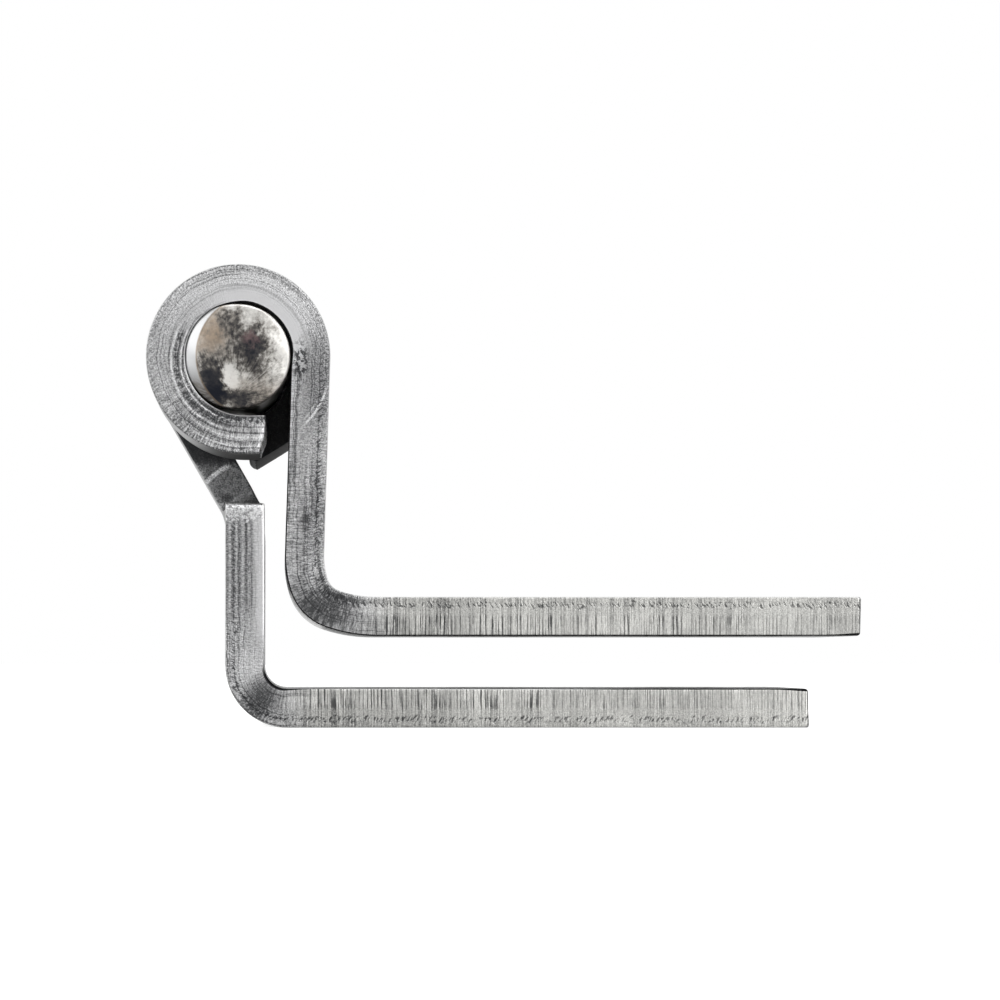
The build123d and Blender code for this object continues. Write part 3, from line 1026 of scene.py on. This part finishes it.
def upper_marks(n, tone, roll):
    """Wear, painted shade and painted shadow on the upper leaf's edge."""
    place, rest = n.attribute("strip_place"), n.attribute("rest_place")
    _, depth, _ = n.split(place)
    x, _, z = n.split(rest)
    angle = n.math("ARCTAN2", z, x)
    wobble = n.noise(rest, (1.1, 1.1, 1.1), 3, 0.6)
    rough = n.grain(rest, (4.0, 4.0, 4.0), 2, 0.65, 0.35, 0.65)
    # a smooth light area inside the roll, over the pin
    calm = n.fall(depth, 0.6, 1.9) * roll * n.within(angle, -0.6, 0.2, 1.5, 2.6)
    tone = n.towards(tone, 0.95, calm * 0.75)
    tone += n.within(angle, -0.9, 0.4, 1.7, 3.0) * roll * 0.17
    # radial tearing under the pin
    hatch = n.grain(place, (6.8, 1.0, 1), 2, 0.7, 0.36, 0.64, -0.58, 0.42)
    tone += n.within(angle, -3.0, -2.5, -1.3, -0.9) * hatch * 0.34
    # grooves beside the bore on the left, spreading apart downwards
    turn = angle + n.math("LESS_THAN", angle, 0.0) * (2 * pi)
    opening = n.highest(turn - (pi - 0.2), 0.0)
    spiral = wobble * 0.22 + (n.reach(x, z) - opening * 0.38)
    sweep = n.within(turn, 2.5, 2.9, 4.1, 4.9) * (rough * 1.3 + 0.8)
    for distance, width, change in GROOVES:
        tone += n.band(spiral, distance, width) * sweep * change
    # painted shadow along the free end's ragged inner edge, and the arcs that run into it
    ragged = n.within(turn, 3.9, 4.4, 5.2, 5.4) * roll
    tone -= n.fall(rough * 0.7 + depth, 0.2, 0.6) * ragged * 0.62
    for level, width, change in TAIL_ARCS:
        tone += n.band(depth, level, width) * ragged * change
    # pits on the right of the bore
    pit = n.grain(rest, (3.0, 3.0, 2.2), 3, 0.7, 0.44, 0.56, 0.0, 1.0)
    tone -= pit * n.blob(rest, (4.75, -25.0, -0.4), (0.85, 9.0, 2.4))
    # an arc-shaped scratch below them, and thin ones down the upright
    for *shape, change in SCRATCHES:
        tone += n.arc(rest, *shape) * change
    return n.tone_and_shade_patches(tone, rest, UPPER_TONE_AND_SHADE)


def lower_marks(n, tone, _):
    """Wear, painted highlights and painted shade on the lower leaf's edge."""
    place, rest = n.attribute("strip_place"), n.attribute("rest_place")
    _, depth, _ = n.split(place)
    _, y, z = n.split(rest)
    rough = n.grain(rest, (3.4, 3.4, 3.4), 3, 0.65, 0.35, 0.65)
    front = n.spread(y, -23.0, -24.0)
    # beads down the tab, and on its right a smooth burnished strip painted up to a highlight
    tab = n.spread(z, -22.0, -18.0) * n.spread(depth, 0.7, 1.0)
    beads = n.math("SINE", depth * 12.2 + rough * 1.1) * n.spread(z, -13.2, -12.3, 1.0, 0.2)
    beads *= n.grain(place, (8.0, 1.4, 1), 1, 0.5, 0.38, 0.60, 0.1, 1.0)
    tone = n.towards(tone, 0.66, tab * 0.45)
    tone += tab * (beads * 0.30 - 0.17)
    tone = n.towards(tone, 1.05, n.fall(depth, 0.0, 1.3) * n.spread(z, -24.0, -20.0) * 0.85)
    # a painted highlight along the tab's torn, rounded top corner
    speck = n.grain(rest, (7.0, 7.0, 7.0), 2, 0.7, 0.34, 0.66)
    top = n.spread(rough * 0.5 + z, -12.75, -12.40) * front
    tone = n.towards(tone, (rough + speck) * 0.55 + 0.80, top * 0.75)
    tone = n.tone_and_shade_patches(tone, rest, LOWER_TONE_AND_SHADE)
    # painted shade on the notch's recessed edges, darkest where the roll hides them, with one
    # bright gouge
    inner = (1.0 - front) * n.fall(y, 22.0, 24.0)
    grain = n.grain(rest, (8.0, 8.0, 8.0), 3, 0.7, 0.32, 0.68)
    painted_shade = grain * 0.50 + (rough * 0.22 + 0.44) - n.spread(z, -8.4, -7.2) * 0.8
    painted_shade -= n.blob(rest, (-0.9, -4.9, -10.6), (0.6, 2, 0.6)) * 0.40
    painted_shade += n.arc(rest, (1.9, -13.31), 6.0, 0.26, 2.0, 2.48) * (grain * 1.2 + 0.75) * 1.1
    return n.towards(tone, painted_shade, inner * 0.88)


def rolled_steel(name, dark_from, pale_x, shade_to, shade_strength):
    """The strip's flat faces: fine rolling grain, faint mottling and painted shade on the
    rolled-over edges.

    dark_from is how far along the strip that painted edge shade starts, but for a run without it
    between the two values of pale_x, with a pale edge painted bright before dark_from. shade_to is
    how far the painted shade goes up the rolled end, and shade_strength how thick it is.
    """
    n = Surface(name)
    place = n.attribute("strip_place")
    _, _, edge = n.split(place)
    _, stretch, s = n.split(n.attribute("strip_bend"))
    x, _, _ = n.split(n.attribute("rest_place"))
    grain = n.noise(place, (0.35, 7.0, 0), 4, 0.6)
    mottle = n.noise(place, (0.35, 0.35, 0), 4, 0.55)
    speck = n.noise(place, (3.2, 3.2, 0), 3, 0.7)
    scratch = n.noise(place, (0.22, 15.0, 0), 3, 0.7)
    beside_roll = n.spread(edge, 0.0, 0.005)

    clouds = n.spread((mottle + grain) * 0.5, 0.3, 0.7)
    colour = n.mix(clouds, (0.34, 0.345, 0.35), (0.52, 0.52, 0.515))
    colour = n.mix(n.spread(scratch, 0.56, 0.70) * 0.45, colour, (0.66, 0.66, 0.65))
    colour = n.mix(n.fall(scratch, 0.30, 0.44) * 0.40, colour, (0.20, 0.20, 0.205))
    colour = n.mix(n.spread(speck, 0.62, 0.78), colour, (0.20, 0.20, 0.205))
    # the bending tool polishes the outside of the tight bends
    polished = n.fall(stretch, -0.42, -0.30)
    colour = n.mix(polished * 0.85, colour, (0.82, 0.82, 0.81))
    # painted shade along the rolled-over edge of the plate, left off for a run between the pale_x
    # values, and before it a pale edge painted bright
    pale = n.within(x, pale_x[0], pale_x[0] + 2.5, pale_x[1] - 8.0, pale_x[1])
    dark = beside_roll * n.fall(edge, 0.12, 0.30) * (1.0 - pale)
    dark *= n.spread(s, dark_from, dark_from + 3.0)
    painted_pale_edge = beside_roll * n.fall(edge, 0.15, 0.5)
    painted_pale_edge *= n.within(s, 37.0, 38.5, dark_from - 4.0, dark_from)
    colour = n.mix(painted_pale_edge, n.mix(dark, colour, ROLLED_EDGE_SHADE), (0.85, 0.85, 0.84))
    # painted shade on the outside of the rolled end, where the metal is also made rougher and less
    # metallic
    painted_shade = n.fall(s, shade_to - 3.5, shade_to) * n.fall(edge, -0.005, 0.0) * shade_strength
    colour = n.mix(painted_shade, colour, ROLLED_END_SHADE)
    metallic = 1.0 - painted_shade * 0.9 - painted_pale_edge * 0.8
    roughness = n.spread(mottle, 0.3, 0.7, 0.24, 0.38) - polished * 0.12 + painted_shade * 0.7
    height = (scratch + grain) * 0.5 + speck * 0.4
    return n.finish(colour, roughness, n.bump(height, 0.015), metallic)


def drilled_steel():
    """Hole walls and countersinks, with tool rings."""
    n = Surface("drilled_steel")
    rings = n.noise(n.attribute("strip_place"), (0.1, 9.0, 1), 3, 0.6)
    colour = n.mix(rings, (0.45, 0.45, 0.45), (0.72, 0.72, 0.70))
    return n.finish(colour, n.spread(rings, 0.3, 0.7, 0.28, 0.4), n.bump(rings, 0.03))


def pin_steel():
    """The pin: a drawn shaft with polished, tarnished ends, painted with reflections and highlights
    in the tarnish.
    """
    n = Surface("pin_steel")
    place = n.attribute("pin_place")
    x, y, z = n.split(place)
    warp = n.grain(place, (0.8, 0.8, 0.8), 5, 0.65, 0.1, 0.9)
    drift = n.grain(place, (0.9, 1.1, 0.8), 5, 0.65, 0.1, 0.9)
    grit = n.grain(place, (3.0, 3.0, 3.0), 4, 0.6, 0.25, 0.75)
    fan = n.vector(n.math("ARCTAN2", z + 3.2, x + 0.3), n.reach(x, z), y)
    strokes = n.grain(fan, (20.0, 2.2, 0.3), 3, 0.65, 0.25, 0.75)
    spot = n.moved(place, n.vector(warp * 1.6, 0.0, drift * 1.6))
    tarnish_and_reflection, pink, warm = 0.12, 0.0, 0.0
    # dark tarnish with painted reflections in it, and painted highlights where a row lightens
    for end in (-1, 1):
        for across, up, wide, high, strength in PIN_TARNISH_AND_REFLECTIONS:
            at = n.blob(spot, (-end * across, 25.0 * end, up), (wide * 1.1, 4.0, high * 1.1))
            tarnish_and_reflection = at * strength + tarnish_and_reflection
        warm = n.blob(spot, (2.0 * end, 25.0 * end, 1.8), (2.5, 4.0, 3.2)) + warm
        warm = n.blob(spot, (-1.4 * end, 25.0 * end, -3.0), (3.0, 4.0, 2.2)) * 0.6 + warm
        pink = n.blob(spot, (-0.95 * end, 25.0 * end, 1.27), (0.8, 4.0, 0.7)) + pink
    dome = n.spread(n.math("ABSOLUTE", y), 23.2, 24.2)
    middle = tarnish_and_reflection * (1.3 - tarnish_and_reflection) * dome
    tarnish_and_reflection += strokes * middle * 1.1 + grit * (middle + 0.08) * 1.3
    # the smooth bevel on one side of each end, with painted shade on its lower part and a thin
    # brown line round it
    facing = x * (n.math("SIGN", y) * -1.0)
    past = n.reach(facing - BEVEL_X, z) - BEVEL_R
    bevel = n.spread(past, -0.02, 0.08) * dome
    tarnish_and_reflection = n.towards(tarnish_and_reflection, (strokes * 0.9 + 0.80) * n.fall(z, -2.9, -1.2), bevel)
    line = n.fall(n.math("ABSOLUTE", past), 0.02, 0.11) * dome
    clean = n.mix(warm, (0.86, 0.845, 0.81), (0.42, 0.33, 0.25))
    clean = n.mix(bevel, clean, (0.42, 0.425, 0.43))
    colour = n.mix(n.spread(tarnish_and_reflection, -0.25, 1.05), clean, (0.165, 0.152, 0.136))
    colour = n.mix(n.spread(tarnish_and_reflection, 0.55, 1.45), colour, (0.018, 0.020, 0.027))
    colour = n.mix(pink * 0.45, colour, (0.30, 0.20, 0.20))
    colour = n.mix(line * 0.6, colour, (0.20, 0.16, 0.12))
    roughness = n.spread(tarnish_and_reflection, 0.0, 0.9, 0.36, 0.46)
    return n.finish(colour, roughness, n.bump((grit + strokes) * 0.5, 0.004))


# ---------------------------------------------------------------- stage, in metres

FLOOR_SIZE = 6.0
FLOOR_GLOW = 0.8
# the world's light from front to back and from the horizon up: where it starts and ends, and
# its levels there
WORLD_DEPTH = (-0.2, 0.7, 0.30, 1.0)
WORLD_HEIGHT = (0.0, 0.8, 0.25, 1.0)
LIGHTS = (
    # two tall softboxes either side of the camera and a broad one overhead: place, size, power
    ("softbox_left", (-0.55, -0.42, 0.16), (0.5, 0.75), 3.0),
    ("softbox_right", (0.50, -0.50, 0.16), (0.5, 0.75), 3.0),
    ("overhead", (0.0, -0.1, 0.8), (0.8, 0.8), 3.0),
)
# in millimetres from the middle of the pin's front end
CAMERA_EYE = (3.14, -650.0, -23.20)
CAMERA_AIM = (20.12, 0.0, -11.06)
CAMERA_LENS = 304.6
CAMERA_NEAR = 0.01


def floor_material():
    """A plain pale floor, washed out to white where it is looked at directly."""
    n = Surface("pale_floor")
    grain = n.noise(n.node("ShaderNodeTexCoord", {}, "Object"), (40, 40, 40), 2, 0.5)
    colour = n.mix(grain, (0.50, 0.50, 0.50), (0.54, 0.54, 0.54))
    n.finish(colour, 0.9, n.bump(grain, 0.01), 0.0)
    seen = n.math("MULTIPLY", n.node("ShaderNodeLightPath", {}, "Is Camera Ray"), FLOOR_GLOW)
    glow = n.node("ShaderNodeEmission", {"Strength": seen})
    both = n.node("ShaderNodeAddShader", {0: glow, 1: n.shader.outputs[0]})
    n.link(both, n.output.inputs["Surface"])
    return n.material


def make_floor():
    """A wide pale floor under the lower plate."""
    square = ((-1, -1), (1, -1), (1, 1), (-1, 1))
    corners = [(x * FLOOR_SIZE, y * FLOOR_SIZE, 0) for x, y in square]
    floor = add_piece("floor", corners, [(0, 1, 2, 3)], [floor_material()])


def make_world():
    """White to look at, but it lights as a cyclorama: bright behind and above, dim in front."""
    world = bpy.data.worlds.new("studio")
    bpy.context.scene.world = world
    world.use_nodes = True
    n = Nodes(world.node_tree)
    output = n.tree.nodes.new("ShaderNodeOutputWorld")
    _, depth, height = n.split(n.node("ShaderNodeTexCoord", {}, "Generated"))
    ramps = []
    for value, limits in ((depth, WORLD_DEPTH), (height, WORLD_HEIGHT)):
        inputs = dict(zip(("From Min", "From Max", "To Min", "To Max"), limits))
        ramps.append(n.node("ShaderNodeMapRange", {"Value": value, **inputs}))
    white = (1, 1, 1, 1)
    light = n.node("ShaderNodeBackground", {0: white, 1: n.highest(*ramps)})
    seen = n.node("ShaderNodeBackground", {0: white})
    path = n.node("ShaderNodeLightPath", {}, "Is Camera Ray")
    n.link(n.node("ShaderNodeMixShader", {0: path, 1: light, 2: seen}), output.inputs[0])


def stand(name, data, place, target):
    """Adds a light or a camera that faces a target."""
    thing = bpy.data.objects.new(name, data)
    thing.location = place
    thing.rotation_euler = (target - place).to_track_quat("-Z", "Y").to_euler()
    bpy.context.scene.collection.objects.link(thing)
    return thing


def make_lights():
    """Soft rectangular lights, all facing the pin."""
    for name, place, size, power in LIGHTS:
        data = bpy.data.lights.new(name, "AREA")
        data.shape = "RECTANGLE"
        data.size, data.size_y = size
        data.energy = power
        stand(name, data, Vector(place), PIN_AXIS * MM)


def make_camera():
    """Looks along the pin from in front, level with the gap between the plates."""
    data = bpy.data.cameras.new("camera")
    data.lens = CAMERA_LENS
    data.clip_start = CAMERA_NEAR
    front = Vector((PIN_AXIS.x, -HALF_WIDTH, PIN_AXIS.z))
    eye, aim = (front + Vector(offset) for offset in (CAMERA_EYE, CAMERA_AIM))
    bpy.context.scene.camera = stand("camera", data, eye * MM, aim * MM)


# ---------------------------------------------------------------- the whole hinge

drilled = drilled_steel()
upper = make_upper_leaf([
    rolled_steel("rolled_steel_upper", 15.0, (90.0, 99.0), 6.2, 0.9),
    sheared_steel("sheared_steel_upper", 8.0, UPPER_REACH, upper_marks),
    drilled,
])
lower = make_lower_leaf([
    rolled_steel("rolled_steel_lower", 50.0, (5.5, 31.0), 13.0, 0.95),
    sheared_steel("sheared_steel_lower", 2.0, LOWER_REACH, lower_marks),
    drilled,
])
pin = make_pin([pin_steel()])
for piece, node, body, slot in (
    (upper, "upper_leaf", "upper", "leaf_steel"),
    (lower, "lower_leaf", "lower", "leaf_steel"),
    (pin, "hinge_pin", "lower", "pin_steel"),
):
    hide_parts(node)
    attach(piece, body)

make_floor()
make_world()
make_lights()
make_camera()
bpy.context.scene.view_settings.view_transform = "Standard"
